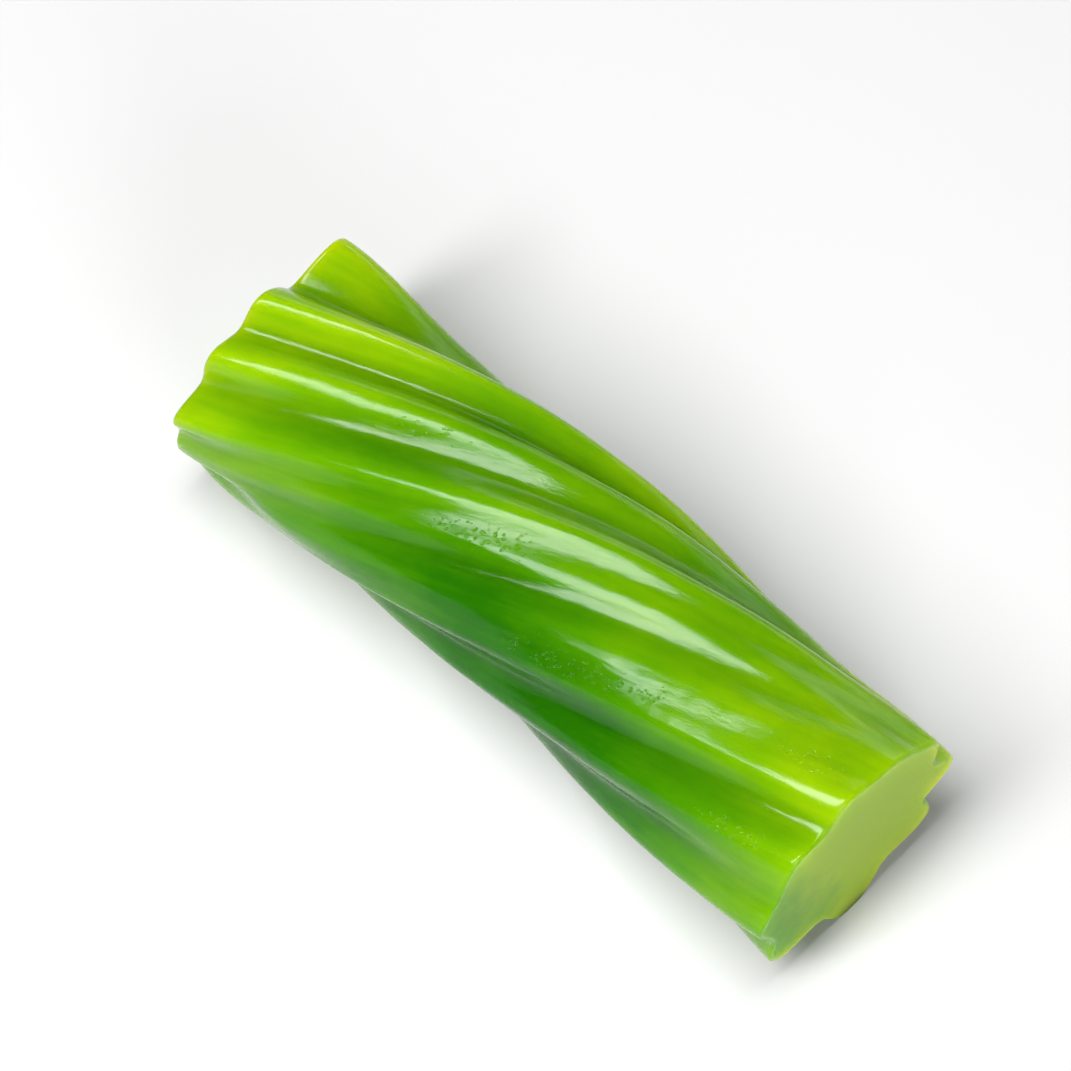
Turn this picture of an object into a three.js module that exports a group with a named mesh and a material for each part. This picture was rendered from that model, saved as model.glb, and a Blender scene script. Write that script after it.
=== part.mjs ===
// A short stick of soft licorice: one ribbed body, twisted to the left and cut at both ends.
// It lies on its side on the surface, on the flattened crests of its lowest ribs.
//
// Frame: millimetres, +Z up, X along the stick. The origin is the bottom centre of its box.
// Angles about the stick's axis are degrees from +Y towards +Z. The stick's start is its
// -X end and its finish is its +X end.

import * as THREE from 'three';

// Driving dimensions.
const LENGTH = 51.4; // between the cut ends, along the axis
const CREST_RADIUS = 8.8; // axis to the top of an ordinary rib
const GROOVE_DEPTH = 1.35; // of an ordinary groove, below CREST_RADIUS
const WAIST_DEPTH = 0.1; // how much slimmer the stick is half way along
const FLARE_LENGTH = 10; // stretch at each end where ribs and grooves reach their end size
const BOW_DEPTH = 0.8; // how far the middle of the stick bends towards +Y
const REST_FLAT_DEPTH = 0.35; // an ordinary crest's height that its resting flat takes off
const TWIST_TURN = 130; // degrees from start to finish, left-handed
const TWIST_EASE = 0.2; // share by which the twist is tighter at the start
const START_CUT_LEAN = 1; // degrees that the cut at the start is off square
const FINISH_CUT_LEAN = 1.8; // degrees that the cut at the finish is off square
const CUT_LEAN_DIRECTION = 290; // side on which the leaning cuts leave the stick longest

// The ribs in order round the stick, with the groove that follows each one. Angles are those
// half way along. crest is the height above CREST_RADIUS and groove is the depth as a share of
// GROOVE_DEPTH, each at the start, along the body and at the finish.
const RIBS = [
  { angle: 21, crest: [0.2, 0.15, 0.3], groove: [1, 1.1, 1] },
  { angle: 52, crest: [0.1, -0.35, 0.7], groove: [0.9, 0.85, 0.7] },
  { angle: 88, crest: [0.3, 0.1, 0.1], groove: [0.45, 0.23, 0.3] },
  { angle: 118, crest: [-0.4, -0.75, -0.3], groove: [1.1, 0.2, 0.4] },
  { angle: 152, crest: [0.05, -0.4, -0.05], groove: [1.1, 0.95, 0.75] },
  { angle: 187, crest: [0, -0.4, -0.1], groove: [1, 0.9, 0.5] },
  { angle: 229, crest: [0.1, -0.05, -0.1], groove: [0.95, 1, 0.8] },
  { angle: 272, crest: [0.1, 0.05, 0.1], groove: [1.1, 1.2, 1.5] },
  { angle: 329, crest: [0.8, -0.4, 0.1], groove: [1.6, 1.4, 1.3] },
];

// Facets.
const STEPS_AROUND = 96;
const STEPS_ALONG = 26;

const FULL_TURN = 360;
const AXIS_HEIGHT = CREST_RADIUS - REST_FLAT_DEPTH;
const { degToRad, euclideanModulo, lerp, smoothstep } = THREE.MathUtils;

// Degrees that the section at x has turned from the section half way along.
function twistAt(x) {
  const fromMiddle = x / LENGTH;
  return -TWIST_TURN * (fromMiddle - TWIST_EASE * fromMiddle ** 2);
}

// 1 half way along the stick, falling smoothly to 0 at its ends.
function middleShare(x) {
  return 1 - (2 * x / LENGTH) ** 2;
}

// A size at x from its values at the start, along the body and at the finish.
function alongStick([start, body, finish], x) {
  const fromEnd = LENGTH / 2 - Math.abs(x);
  const endShare = 1 - smoothstep(fromEnd, 0, FLARE_LENGTH);
  return lerp(body, x < 0 ? start : finish, endShare);
}

// The rib at or before an angle of the half-way section, the rib after it, and how far the
// angle is from the first to the second.
function ribsAround(angle) {
  const found = RIBS.findLastIndex((rib) => rib.angle <= angle);
  const before = RIBS.at(found);
  const after = RIBS.at(found + 1 - RIBS.length);
  const gap = euclideanModulo(after.angle - before.angle, FULL_TURN);
  const share = euclideanModulo(angle - before.angle, FULL_TURN) / gap;
  return { before, after, share };
}

// Distance from the axis to the surface: a crest at each rib and one smooth groove between.
function surfaceRadius(angle, x) {
  const { before, after, share } = ribsAround(angle);
  const crestBefore = alongStick(before.crest, x);
  const crestAfter = alongStick(after.crest, x);
  const crest = lerp(crestBefore, crestAfter, smoothstep(share, 0, 1));
  const groove = -GROOVE_DEPTH * alongStick(before.groove, x);
  const dip = Math.sin(Math.PI * share) ** 2;
  return CREST_RADIUS + lerp(crest, groove, dip) - WAIST_DEPTH * middleShare(x);
}

// How far a leaning cut moves a point of the section at x along the stick.
function cutLean(x, side, radius) {
  const lean = x < 0 ? START_CUT_LEAN : FINISH_CUT_LEAN;
  const towardsEnd = x / (LENGTH / 2);
  const reach = radius * Math.cos(degToRad(side - CUT_LEAN_DIRECTION));
  return towardsEnd * Math.tan(degToRad(lean)) * reach;
}

// A surface point, with the crests that reach below the resting plane flattened onto it.
function surfacePoint(angle, x) {
  const radius = surfaceRadius(angle, x);
  const side = angle + twistAt(x);
  const across = radius * Math.cos(degToRad(side)) + BOW_DEPTH * middleShare(x) ** 2;
  const height = AXIS_HEIGHT + radius * Math.sin(degToRad(side));
  return [x + cutLean(x, side, radius), across, Math.max(0, height)];
}

// Rings of points from the start to the finish, then the centre of each cut end.
function twistPositions() {
  const positions = [];
  for (let ring = 0; ring <= STEPS_ALONG; ring += 1) {
    const x = (ring / STEPS_ALONG - 0.5) * LENGTH;
    for (let step = 0; step < STEPS_AROUND; step += 1) {
      positions.push(...surfacePoint((step / STEPS_AROUND) * FULL_TURN, x));
    }
  }
  positions.push(-LENGTH / 2, 0, AXIS_HEIGHT);
  positions.push(LENGTH / 2, 0, AXIS_HEIGHT);
  return positions;
}

// Triangles that face outwards: the ribbed side, then a fan over each cut end.
function twistFaces() {
  const faces = [];
  const lastRing = STEPS_ALONG * STEPS_AROUND;
  const startCentre = lastRing + STEPS_AROUND;
  const finishCentre = startCentre + 1;
  for (let step = 0; step < STEPS_AROUND; step += 1) {
    const next = (step + 1) % STEPS_AROUND;
    for (let here = 0; here < lastRing; here += STEPS_AROUND) {
      const ahead = here + STEPS_AROUND;
      faces.push(here + step, here + next, ahead + next);
      faces.push(here + step, ahead + next, ahead + step);
    }
    faces.push(startCentre, next, step);
    faces.push(finishCentre, lastRing + step, lastRing + next);
  }
  return faces;
}

// The stick's closed surface, moved so that the origin is the bottom centre of its box.
function twistGeometry() {
  const geometry = new THREE.BufferGeometry();
  geometry.setAttribute('position', new THREE.Float32BufferAttribute(twistPositions(), 3));
  geometry.setIndex(twistFaces());
  geometry.computeBoundingBox();
  const middle = geometry.boundingBox.getCenter(new THREE.Vector3());
  geometry.translate(-middle.x, -middle.y, 0);
  geometry.computeVertexNormals();
  return geometry;
}

const greenLicorice = new THREE.MeshStandardMaterial({
  color: new THREE.Color(0.127, 0.376, 0.004),
  roughness: 0.25,
  metalness: 0,
});

const twist = new THREE.Mesh(twistGeometry(), greenLicorice);
twist.name = 'licorice_twist';

const part = new THREE.Group();
part.add(twist);

export default part;
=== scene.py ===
import math

import bpy
import numpy as np
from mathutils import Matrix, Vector, noise


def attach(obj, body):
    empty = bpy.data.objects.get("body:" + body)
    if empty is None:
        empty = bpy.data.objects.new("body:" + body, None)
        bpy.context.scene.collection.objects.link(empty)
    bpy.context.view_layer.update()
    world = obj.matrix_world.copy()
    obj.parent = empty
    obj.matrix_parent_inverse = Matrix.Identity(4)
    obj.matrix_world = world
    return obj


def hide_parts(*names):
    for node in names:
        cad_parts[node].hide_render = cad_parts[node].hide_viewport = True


# A short stick of soft green licorice, lying on a pale surface under soft studio light.
# Shape sizes are in millimetres, as in the part's own source; Blender's are in metres.

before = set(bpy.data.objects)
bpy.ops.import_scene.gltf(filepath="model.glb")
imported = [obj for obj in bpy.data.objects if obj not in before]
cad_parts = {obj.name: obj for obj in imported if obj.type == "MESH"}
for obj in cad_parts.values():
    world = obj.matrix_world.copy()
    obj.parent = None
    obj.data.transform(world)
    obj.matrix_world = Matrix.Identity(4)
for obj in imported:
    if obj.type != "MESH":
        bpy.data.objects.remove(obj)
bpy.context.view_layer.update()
MM = 0.001

# ---------------------------------------------------------------- the stick's driving sizes
LENGTH = 51.4
CREST_RADIUS = 8.8
GROOVE_DEPTH = 1.35
WAIST_DEPTH = 0.1
FLARE_LENGTH = 10
BOW_DEPTH = 0.8
REST_FLAT_DEPTH = 0.35
TWIST_TURN = 130
TWIST_EASE = 0.2
START_CUT_LEAN = 1
FINISH_CUT_LEAN = 1.8
CUT_LEAN_DIRECTION = 290
AXIS_HEIGHT = CREST_RADIUS - REST_FLAT_DEPTH

# Each rib: its angle half way along; its height above CREST_RADIUS at the start, along the
# body and at the finish; and the depth of the groove after it at the same three places.
RIBS = (
    (21, (0.2, 0.15, 0.3), (1.0, 1.1, 1.0)),
    (52, (0.1, -0.35, 0.7), (0.9, 0.85, 0.7)),
    (88, (0.3, 0.1, 0.1), (0.45, 0.23, 0.3)),
    (118, (-0.4, -0.75, -0.3), (1.1, 0.2, 0.4)),
    (152, (0.05, -0.4, -0.05), (1.1, 0.95, 0.75)),
    (187, (0.0, -0.4, -0.1), (1.0, 0.9, 0.5)),
    (229, (0.1, -0.05, -0.1), (0.95, 1.0, 0.8)),
    (272, (0.1, 0.05, 0.1), (1.1, 1.2, 1.5)),
    (329, (0.8, -0.4, 0.1), (1.6, 1.4, 1.3)),
)

# ---------------------------------------------------------------- painted light and shade in the green
# Painted lighting is the light and shade painted into the green, from 0 to about 1: high for
# light painted as coming through, low for painted shade. Sides are degrees from +Y to +Z.
OPEN_PAINTED_LIGHTING = 0.62  # painted lighting of an ordinary place
CREST_GLOW = 0.06  # painted light that a crest has over a groove
# A painted shade on one side of the stick's middle, as deeper green.
SHADE_SIDE = 175  # the side where the painted shade is deepest
SHADE_HALF = 25  # degrees to each side of it that are as deep
SHADE_EDGE = 60  # degrees over which the shade fades out
SHADE_DEPTH = 0.44
SHADE_MIDDLE = 4.5  # where along the stick the painted shade is deepest
SHADE_LENGTH = 19
# Painted glow of light through the thin ends.
END_GLOW_LENGTH = 11
START_GLOW = 0.14
START_GLOW_SWING = 0.13  # how much more painted light the start has on its light side
START_GLOW_SIDE = 62  # where that side is
FINISH_GLOW = 0.18
# Painted light on the cut faces.
CUT_GLOW = 0.3
CUT_SLOPE = 0.34  # how much more painted light a cut face has at its lightest edge than at its middle
CUT_LIGHT_SIDE = 20  # the side of that edge

# Where the skin is pitted by small bubbles: rib angle, x, and how far round and along.
PITTED = (
    (146, 6, 9, 8),
    (184, 21, 8, 4),
    (103, -4, 9, 5),
    (140, 22, 9, 3),
    (60, -12, 7, 5),
    (255, -4, 12, 7),
    (310, 12, 12, 6),
)
CUT_PITTED = 0.25

# ---------------------------------------------------------------- the fine mesh
STEPS_AROUND = 320
STEPS_ALONG = 230
RIM_RADIUS = 0.3
RIM_STEPS = 6
CAP_RINGS = 28
FULL_TURN = 360
ANGLES = np.arange(STEPS_AROUND) * FULL_TURN / STEPS_AROUND  # of the points round a ring
NOISE_SHIFT = (17.3, 5.1, 9.7)  # how far apart the noise of two seeds is taken

# How the soft surface strays from its ribs: cycles per millimetre along the stick and round
# it, and height.
LUMPINESS = (
    (0.05, 0.9, 0.035),  # long creases
    (0.07, 2.3, 0.014),  # finer creases
    (0.16, 0.3, 0.07),  # broad lumps
    (0.9, 1.3, 0.010),  # small dents
)

def smoothstep(t):
    t = np.clip(t, 0, 1)
    return t * t * (3 - 2 * t)


def twist_at(x):
    """Degrees that the section at x has turned from the one half way along."""
    from_middle = x / LENGTH
    return -TWIST_TURN * (from_middle - TWIST_EASE * from_middle**2)


def middle_share(x):
    return 1 - (2 * x / LENGTH) ** 2


def along_stick(values, x):
    """A size at x from its values at the start, along the body and at the finish."""
    start, body, finish = (values[..., i] for i in range(3))
    end_share = 1 - smoothstep((LENGTH / 2 - np.abs(x)) / FLARE_LENGTH)
    return body + (np.where(x < 0, start, finish) - body) * end_share


def surface_radius(angle, x):
    """Distance from the axis to the ribbed surface, in millimetres."""
    rib_angles = np.array([rib[0] for rib in RIBS])
    crests = np.array([rib[1] for rib in RIBS], dtype=float)
    grooves = np.array([rib[2] for rib in RIBS], dtype=float)
    before = (np.searchsorted(rib_angles, angle, side="right") - 1) % len(RIBS)
    after = (before + 1) % len(RIBS)
    gap = (rib_angles[after] - rib_angles[before]) % FULL_TURN
    share = ((angle - rib_angles[before]) % FULL_TURN) / gap
    crest_before = along_stick(crests[before], x)
    crest_after = along_stick(crests[after], x)
    crest = crest_before + (crest_after - crest_before) * smoothstep(share)
    groove = -GROOVE_DEPTH * along_stick(grooves[before], x)
    radius = crest + (groove - crest) * np.sin(np.pi * share) ** 2
    return CREST_RADIUS + radius - WAIST_DEPTH * middle_share(x)


def untwisted(angle, x, radius):
    """The point's place in the stick as it was before it was twisted."""
    turn = np.radians(angle)
    return np.stack([x + 0 * angle, radius * np.cos(turn), radius * np.sin(turn)], axis=-1)


def noise_at(points, scale, seed):
    """Smooth noise from -1 to 1 at each point; scale is cycles per millimetre, per axis."""
    shift = Vector([seed * part for part in NOISE_SHIFT])
    flat = points.reshape(-1, 3) * np.asarray(scale)
    values = [noise.noise(Vector(point) + shift) for point in flat]
    return np.array(values).reshape(points.shape[:-1])


def lumpiness(points):
    """How far the soft surface stands off its ideal ribs: creases, lumps and dents."""
    layers = enumerate(LUMPINESS, start=1)
    return sum(noise_at(points, (along, around, around), seed) * height
               for seed, (along, around, height) in layers)


def degrees_between(angle, other):
    """The turn from other to angle, from -180 to 180."""
    return (angle - other + FULL_TURN / 2) % FULL_TURN - FULL_TURN / 2


def painted_lighting_at(angle, x, radius):
    """Painted light and shade: how much light is painted as coming through, high at the ends and
    crests, low in the stick's thick, with painted shade on one side.
    """
    side = angle + twist_at(x)
    # Painted shade on one side of the middle.
    from_shade = np.abs(degrees_between(side, SHADE_SIDE))
    shade = 1 - smoothstep((from_shade - SHADE_HALF) / SHADE_EDGE)
    shade = shade * np.exp(-(((x - SHADE_MIDDLE) / SHADE_LENGTH) ** 2))
    # Painted glow at the ends.
    end = np.exp(-(((LENGTH / 2 - np.abs(x)) / END_GLOW_LENGTH) ** 2))
    start_glow = START_GLOW + START_GLOW_SWING * np.cos(np.radians(side - START_GLOW_SIDE))
    glow = end * np.where(x < 0, start_glow, FINISH_GLOW)
    crest = (radius - CREST_RADIUS + GROOVE_DEPTH / 2) / GROOVE_DEPTH
    return OPEN_PAINTED_LIGHTING + glow - SHADE_DEPTH * shade + CREST_GLOW * crest


def pittedness(angle, x):
    """How thickly the skin is pitted at each point, from 0 to 1."""
    patches = []
    for middle, along, half_round, half_along in PITTED:
        round_share = degrees_between(angle, middle) / half_round
        patches.append(np.exp(-(round_share**2) - ((x - along) / half_along) ** 2))
    return np.max(patches, axis=0)


def place(angle, x, radius):
    """A surface point, with the crests that reach below the resting plane pressed flat."""
    side = np.radians(angle + twist_at(x))
    lean = np.where(x < 0, START_CUT_LEAN, FINISH_CUT_LEAN)
    reach = radius * np.cos(side - math.radians(CUT_LEAN_DIRECTION))
    along = x + x / (LENGTH / 2) * np.tan(np.radians(lean)) * reach
    across = radius * np.cos(side) + BOW_DEPTH * middle_share(x) ** 2
    height = np.maximum(0, AXIS_HEIGHT + radius * np.sin(side))
    return np.stack([along, across, height], axis=-1)


def ring_stations():
    """Along-places of the rings and how far each is drawn in, with a rounded rim at each end."""
    half = LENGTH / 2
    turn = np.linspace(math.pi / 2, 0, RIM_STEPS + 1)[:-1]
    rim_x = half - RIM_RADIUS * (1 - np.sin(turn))
    rim_inset = RIM_RADIUS * (1 - np.cos(turn))
    body_x = np.linspace(-half + RIM_RADIUS, half - RIM_RADIUS, STEPS_ALONG)
    x = np.concatenate([-rim_x, body_x, rim_x[::-1]])
    inset = np.concatenate([rim_inset, 0 * body_x, rim_inset[::-1]])
    return x, inset


def side_mesh(stations, insets):
    """The ribbed side and its rims, as grids of places and looks with a row for each ring."""
    angle, x = np.meshgrid(ANGLES, stations)
    radius = surface_radius(angle, x)
    radius = radius + lumpiness(untwisted(angle, x, radius)) - insets[:, None]
    return {
        "place": place(angle, x, radius),
        "untwisted": untwisted(angle, x, radius),
        "cut": np.zeros(x.shape),
        "painted_lighting": painted_lighting_at(angle, x, radius),
        "pitted": pittedness(angle, x),
    }


def cap_mesh(side, ring, x):
    """A cut face at x, as rings that shrink from the side's first or last ring."""
    shares = (np.arange(CAP_RINGS, 0, -1) - 0.5)[:, None] / CAP_RINGS

    def drawn_in(name, centre):
        return centre + (side[name][ring] - centre) * shares[..., None]

    rim_painted_lighting = side["painted_lighting"][ring]
    # Painted light on the cut face, lightest towards CUT_LIGHT_SIDE.
    from_light = np.radians(ANGLES + twist_at(x) - CUT_LIGHT_SIDE)
    painted_lighting = rim_painted_lighting * shares + rim_painted_lighting.mean() * (1 - shares)
    painted_lighting = painted_lighting + CUT_GLOW + CUT_SLOPE * shares * np.cos(from_light)
    return {
        "place": drawn_in("place", place(0.0, x, 0.0)),
        "untwisted": drawn_in("untwisted", untwisted(0.0, x, 0.0)),
        "cut": np.ones(painted_lighting.shape),
        "painted_lighting": painted_lighting,
        "pitted": np.full(painted_lighting.shape, CUT_PITTED),
    }


def twist_mesh():
    """The stick's places and looks, point by point, and its faces."""
    stations, insets = ring_stations()
    side = side_mesh(stations, insets)
    blocks = [side, cap_mesh(side, 0, stations[0]), cap_mesh(side, -1, stations[-1])]
    layers = {}
    for name in side:
        parts = [block[name].reshape(-1, *block[name].shape[2:]) for block in blocks]
        layers[name] = np.concatenate(parts)
    return layers, faces_of([len(block["cut"]) for block in blocks])


def faces_of(rings):
    """Quads between neighbouring rings, and a polygon at the middle of each cut face."""
    step = np.arange(STEPS_AROUND)
    following = (step + 1) % STEPS_AROUND

    def band(first, second):
        first, second = first * STEPS_AROUND, second * STEPS_AROUND
        quad = (first + step, first + following, second + following, second + step)
        return np.stack(quad, axis=-1).tolist()

    side, start_cap, finish_cap = rings
    faces = []
    for ring in range(side - 1):
        faces += band(ring, ring + 1)
    start_rings = [0] + list(range(side, side + start_cap))
    finish_rings = [side - 1] + list(range(side + start_cap, side + start_cap + finish_cap))
    for inner, outer in zip(start_rings[1:], start_rings):
        faces += band(inner, outer)
    for inner, outer in zip(finish_rings[1:], finish_rings):
        faces += band(outer, inner)
    faces.append((start_rings[-1] * STEPS_AROUND + step)[::-1].tolist())
    faces.append((finish_rings[-1] * STEPS_AROUND + step).tolist())
    return faces


def build_twist():
    layers, faces = twist_mesh()
    points = layers.pop("place")
    low, high = points.min(axis=0), points.max(axis=0)
    middle = (low + high) / 2
    points = (points - [middle[0], middle[1], low[2]]) * MM
    mesh = bpy.data.meshes.new("licorice_twist_soft")
    mesh.from_pydata(points.tolist(), [], faces)
    mesh.shade_smooth()
    untwisted_layer = mesh.attributes.new("untwisted", "FLOAT_VECTOR", "POINT")
    untwisted_layer.data.foreach_set("vector", layers.pop("untwisted").ravel())
    for name, values in layers.items():
        layer = mesh.attributes.new(name, "FLOAT", "POINT")
        layer.data.foreach_set("value", values)
    piece = bpy.data.objects.new("licorice_twist_soft", mesh)
    bpy.context.scene.collection.objects.link(piece)
    return piece


# ---------------------------------------------------------------- materials
GREENS = (  # colours of the painted lighting, from painted shade where the sweet is thick to painted glow where most light comes through
    (0.0, (0.006, 0.080, 0.0001, 1)),
    (0.25, (0.014, 0.130, 0.0001, 1)),
    (0.5, (0.060, 0.225, 0.0003, 1)),
    (0.75, (0.140, 0.320, 0.0006, 1)),
    (1.0, (0.280, 0.440, 0.0012, 1)),
)
SWEET_IOR = 1.285
SCATTER_RADIUS = (1.0, 1.0, 0.12)  # red and green light spread far in the sweet, blue doesn't
SCATTER_SCALE = 0.008

# Each noise: cycles per millimetre, levels of detail and how rough the detail is.
CLOUDS = (0.11, 3, 0.5)  # of the green
FIBRES = (0.9, 4, 0.6)
SMEARS = (1.1, 5, 0.65)  # of the gloss
GRAIN = (3.0, 4, 0.65)
SPECKLE = (8.0, 2, 0.5)
SWARMS = (1.1, 2, 0.5)  # of pits
FIBRE_STRETCH = 0.12  # cycles along the ribs for each one round them
GRAIN_STRETCH = 0.35
SWARM_STRETCH = 0.5

NOISE_SPAN = (0.3, 0.7)  # the part of a noise's range that is used
CLOUD_SHIFT = 0.10  # how far the clouds change the leak
FIBRE_SHIFT = 0.06
SMEAR_SPAN = (0.35, 0.7)
SIDE_ROUGHNESS = (0.04, 0.11)
CUT_ROUGHNESS = 0.42

# Heights are shares of BUMP_HEIGHT.
BUMP_HEIGHT = 0.04 * MM
GRAIN_HEIGHT = 0.55
SPECKLE_HEIGHT = 0.12
PIT_HEIGHT = 1.5
PIT_SCALE = 2.7  # cells per millimetre, with a pit in each
PIT_CROWD = (0.75, 1.35)  # pittedness and swarm noise together, from no crowd to a dense one
PIT_SIZES = (0.02, 0.37)  # in cells, at those two
PIT_WALL = (0.5, 1.0)  # shares of a pit's size between which its wall rises

FLOOR_GREY = 0.63
FLOOR_ROUGHNESS = 0.9


class NodeMaterial:
    """A new material, with a short way to add each kind of node that is used here."""

    def __init__(self, name):
        self.material = bpy.data.materials.new(name)
        self.material.use_nodes = True
        self.nodes = self.material.node_tree.nodes
        self.links = self.material.node_tree.links
        self.shader = self.nodes["Principled BSDF"]

    def attribute(self, name, output):
        node = self.nodes.new("ShaderNodeAttribute")
        node.attribute_name = name
        return node.outputs[output]

    def noise(self, vector, scale, detail, roughness):
        node = self.nodes.new("ShaderNodeTexNoise")
        node.inputs["Scale"].default_value = scale
        node.inputs["Detail"].default_value = detail
        node.inputs["Roughness"].default_value = roughness
        self.links.new(vector, node.inputs["Vector"])
        return node.outputs["Fac"]

    def cells(self, vector, scale):
        """Distance to the middle of the nearest cell, in cells."""
        node = self.nodes.new("ShaderNodeTexVoronoi")
        node.inputs["Scale"].default_value = scale
        self.links.new(vector, node.inputs["Vector"])
        return node.outputs["Distance"]

    def stretched(self, vector, along):
        """The untwisted place with its length shrunk, so that noise on it runs along the ribs."""
        node = self.nodes.new("ShaderNodeMapping")
        node.inputs["Scale"].default_value = (along, 1, 1)
        self.links.new(vector, node.inputs["Vector"])
        return node.outputs["Vector"]

    def math(self, operation, *values):
        node = self.nodes.new("ShaderNodeMath")
        node.operation = operation
        for socket, value in zip(node.inputs, values):
            if isinstance(value, (int, float)):
                socket.default_value = value
            else:
                self.links.new(value, socket)
        return node.outputs["Value"]

    def spread(self, value, low, high, to_low, to_high):
        """The value from low to high, moved to the range from to_low to to_high."""
        node = self.nodes.new("ShaderNodeMapRange")
        for name, number in (("From Min", low), ("From Max", high),
                             ("To Min", to_low), ("To Max", to_high)):
            node.inputs[name].default_value = number
        self.links.new(value, node.inputs["Value"])
        return node.outputs["Result"]


def add_green(sweet, place_in, along_ribs):
    """The green by place: painted light and shade, with clouds and fibres in it."""
    painted_lighting = sweet.attribute("painted_lighting", "Fac")
    cloud = sweet.noise(place_in, *CLOUDS)
    fibres = sweet.noise(along_ribs, *FIBRES)
    cloudy = sweet.spread(cloud, *NOISE_SPAN, -CLOUD_SHIFT, CLOUD_SHIFT)
    fibrous = sweet.spread(fibres, *NOISE_SPAN, -FIBRE_SHIFT, FIBRE_SHIFT)
    ramp = sweet.nodes.new("ShaderNodeValToRGB")
    elements = ramp.color_ramp.elements
    while len(elements) < len(GREENS):
        elements.new(0.5)
    for element, (position, colour) in zip(elements, GREENS):
        element.position, element.color = position, colour
    shade = sweet.math("ADD", sweet.math("ADD", painted_lighting, cloudy), fibrous)
    sweet.links.new(shade, ramp.inputs["Fac"])
    sweet.links.new(ramp.outputs["Color"], sweet.shader.inputs["Base Color"])


def pit_height(sweet, place_in):
    """Round pits where bubbles reach the skin, larger where they crowd."""
    swarm = sweet.noise(sweet.stretched(place_in, SWARM_STRETCH), *SWARMS)
    crowd = sweet.math("ADD", sweet.attribute("pitted", "Fac"), swarm)
    pit_size = sweet.spread(crowd, *PIT_CROWD, *PIT_SIZES)
    from_middle = sweet.math("DIVIDE", sweet.cells(place_in, PIT_SCALE), pit_size)
    return sweet.spread(from_middle, *PIT_WALL, 0.0, PIT_HEIGHT)


def add_bump(sweet, place_in):
    """Grain along the ribs, fine speckle and pits."""
    grain = sweet.noise(sweet.stretched(place_in, GRAIN_STRETCH), *GRAIN)
    speckle = sweet.noise(place_in, *SPECKLE)
    height = sweet.math("ADD", sweet.math("MULTIPLY", grain, GRAIN_HEIGHT),
                        sweet.math("MULTIPLY", speckle, SPECKLE_HEIGHT))
    height = sweet.math("ADD", height, pit_height(sweet, place_in))
    bump = sweet.nodes.new("ShaderNodeBump")
    bump.inputs["Strength"].default_value = 1.0
    bump.inputs["Distance"].default_value = BUMP_HEIGHT
    sweet.links.new(height, bump.inputs["Height"])
    sweet.links.new(bump.outputs["Normal"], sweet.shader.inputs["Normal"])


def add_gloss(sweet, along_ribs):
    """A glossy side, with smears, and dull cut faces."""
    smears = sweet.noise(along_ribs, *SMEARS)
    rough = sweet.nodes.new("ShaderNodeMix")
    sweet.links.new(sweet.attribute("cut", "Fac"), rough.inputs["Factor"])
    sweet.links.new(sweet.spread(smears, *SMEAR_SPAN, *SIDE_ROUGHNESS), rough.inputs["A"])
    rough.inputs["B"].default_value = CUT_ROUGHNESS
    sweet.links.new(rough.outputs["Result"], sweet.shader.inputs["Roughness"])


def licorice_material():
    sweet = NodeMaterial("green_licorice")
    sweet.shader.inputs["IOR"].default_value = SWEET_IOR
    sweet.shader.inputs["Subsurface Weight"].default_value = 1.0
    sweet.shader.inputs["Subsurface Radius"].default_value = SCATTER_RADIUS
    sweet.shader.inputs["Subsurface Scale"].default_value = SCATTER_SCALE
    place_in = sweet.attribute("untwisted", "Vector")
    along_ribs = sweet.stretched(place_in, FIBRE_STRETCH)
    add_green(sweet, place_in, along_ribs)
    add_bump(sweet, place_in)
    add_gloss(sweet, along_ribs)
    return sweet.material


def floor_material():
    surface = NodeMaterial("studio_surface")
    surface.shader.inputs["Base Color"].default_value = (FLOOR_GREY, FLOOR_GREY, FLOOR_GREY, 1)
    surface.shader.inputs["Roughness"].default_value = FLOOR_ROUGHNESS
    return surface.material


# ---------------------------------------------------------------- the studio
VIEW_AZIMUTH = 43
VIEW_ELEVATION = 65
CAMERA_DISTANCE = 0.52
FRAME_WIDTH = 0.0684  # what the picture's width spans at the stick
STICK_RIGHT = 0.0229  # how far the stick's middle is right of the picture's, in widths
STICK_BELOW = 0.0560  # and how far below it
SENSOR_WIDTH = 36
CLIP_START = 0.01
FLOOR_HALF = 1.5
WORLD_STRENGTH = 0.06

SOFTBOXES = (  # name, place, width and height, and radiance; each one faces the stick
    ("front_box", (-0.036, -0.165, 0.42), (0.11, 0.48), 20.5),
    ("back_box", (-0.1, 0.5, 0.16), (0.5, 0.2), 2.0),
    ("side_box", (0.45, -0.25, 0.25), (0.3, 0.3), 5.5),
)


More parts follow.
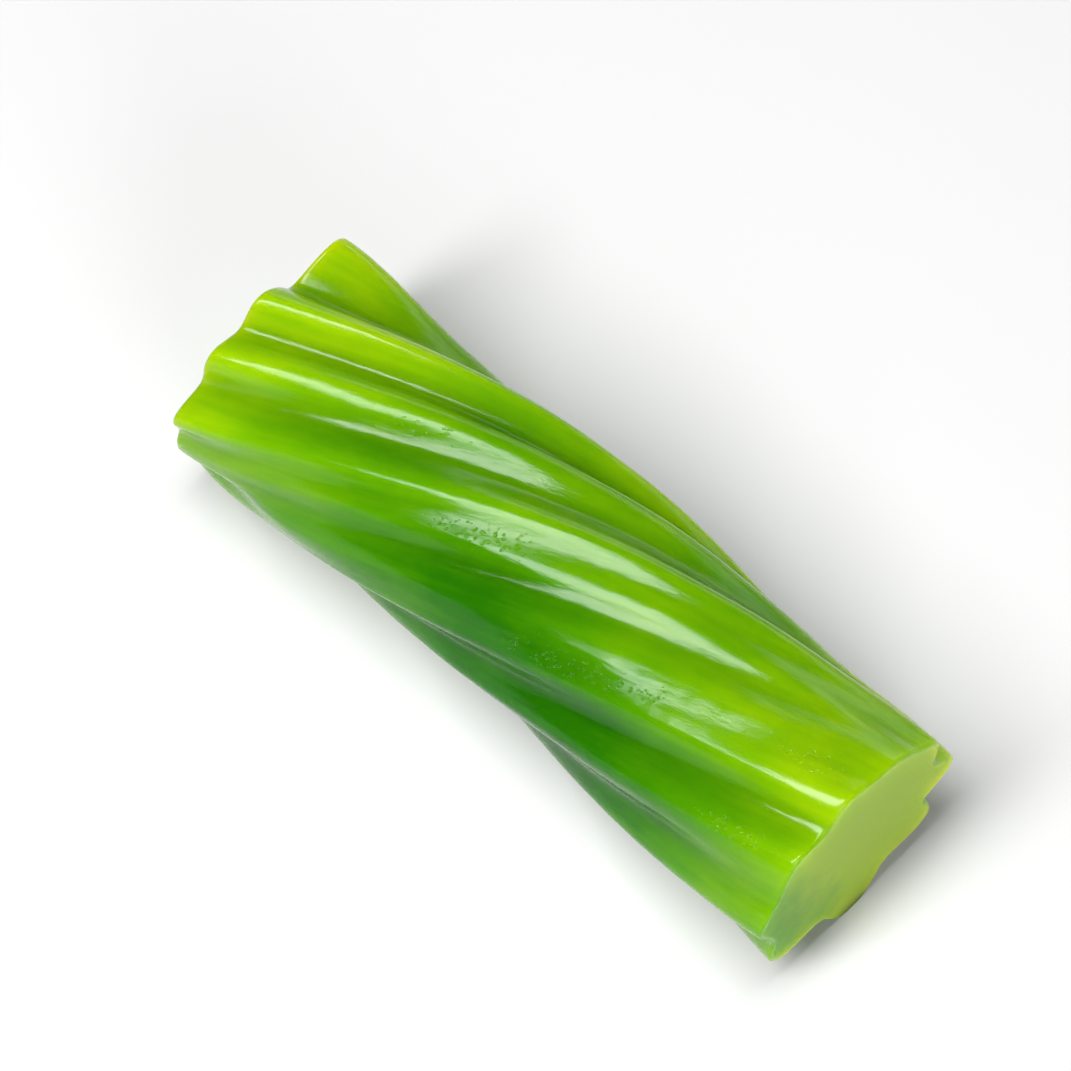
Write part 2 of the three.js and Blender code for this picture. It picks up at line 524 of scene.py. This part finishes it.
def add_camera(target):
    azimuth, elevation = math.radians(VIEW_AZIMUTH), math.radians(VIEW_ELEVATION)
    back = Vector((math.sin(azimuth) * math.cos(elevation),
                   -math.cos(azimuth) * math.cos(elevation),
                   math.sin(elevation)))
    turned = (-back).to_track_quat("-Z", "Y")
    right, up = turned @ Vector((1, 0, 0)), turned @ Vector((0, 1, 0))
    camera_data = bpy.data.cameras.new("camera")
    camera_data.sensor_width = SENSOR_WIDTH
    camera_data.lens = SENSOR_WIDTH * CAMERA_DISTANCE / FRAME_WIDTH
    camera_data.clip_start = CLIP_START
    camera = bpy.data.objects.new("camera", camera_data)
    aside = (-STICK_RIGHT * right + STICK_BELOW * up) * FRAME_WIDTH
    camera.location = target + back * CAMERA_DISTANCE + aside
    camera.rotation_mode = "QUATERNION"
    camera.rotation_quaternion = turned
    bpy.context.scene.collection.objects.link(camera)
    bpy.context.scene.camera = camera


def add_softbox(name, place_at, size, radiance):
    """A rectangular light whose front has this radiance, whatever its size."""
    light = bpy.data.lights.new(name, "AREA")
    light.shape = "RECTANGLE"
    light.size, light.size_y = size
    light.energy = radiance * math.pi * size[0] * size[1]
    box = bpy.data.objects.new(name, light)
    box.location = place_at
    aim = -Vector(place_at).normalized()
    box.rotation_mode = "QUATERNION"
    box.rotation_quaternion = aim.to_track_quat("-Z", "Y")
    bpy.context.scene.collection.objects.link(box)


def add_world():
    world = bpy.data.worlds.new("studio")
    world.use_nodes = True
    background = world.node_tree.nodes["Background"]
    background.inputs["Color"].default_value = (1, 1, 1, 1)
    background.inputs["Strength"].default_value = WORLD_STRENGTH
    bpy.context.scene.world = world


def add_floor():
    half = FLOOR_HALF
    mesh = bpy.data.meshes.new("floor")
    corners = [(-half, -half, 0), (half, -half, 0), (half, half, 0), (-half, half, 0)]
    mesh.from_pydata(corners, [], [(0, 1, 2, 3)])
    mesh.materials.append(floor_material())
    floor = bpy.data.objects.new("floor", mesh)
    bpy.context.scene.collection.objects.link(floor)


twist = build_twist()
twist.data.materials.append(licorice_material())
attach(twist, "root")
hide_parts("licorice_twist")

add_camera(Vector((0, 0, AXIS_HEIGHT * MM)))
add_floor()
add_world()
for softbox in SOFTBOXES:
    add_softbox(*softbox)
bpy.context.scene.view_settings.view_transform = "Standard"
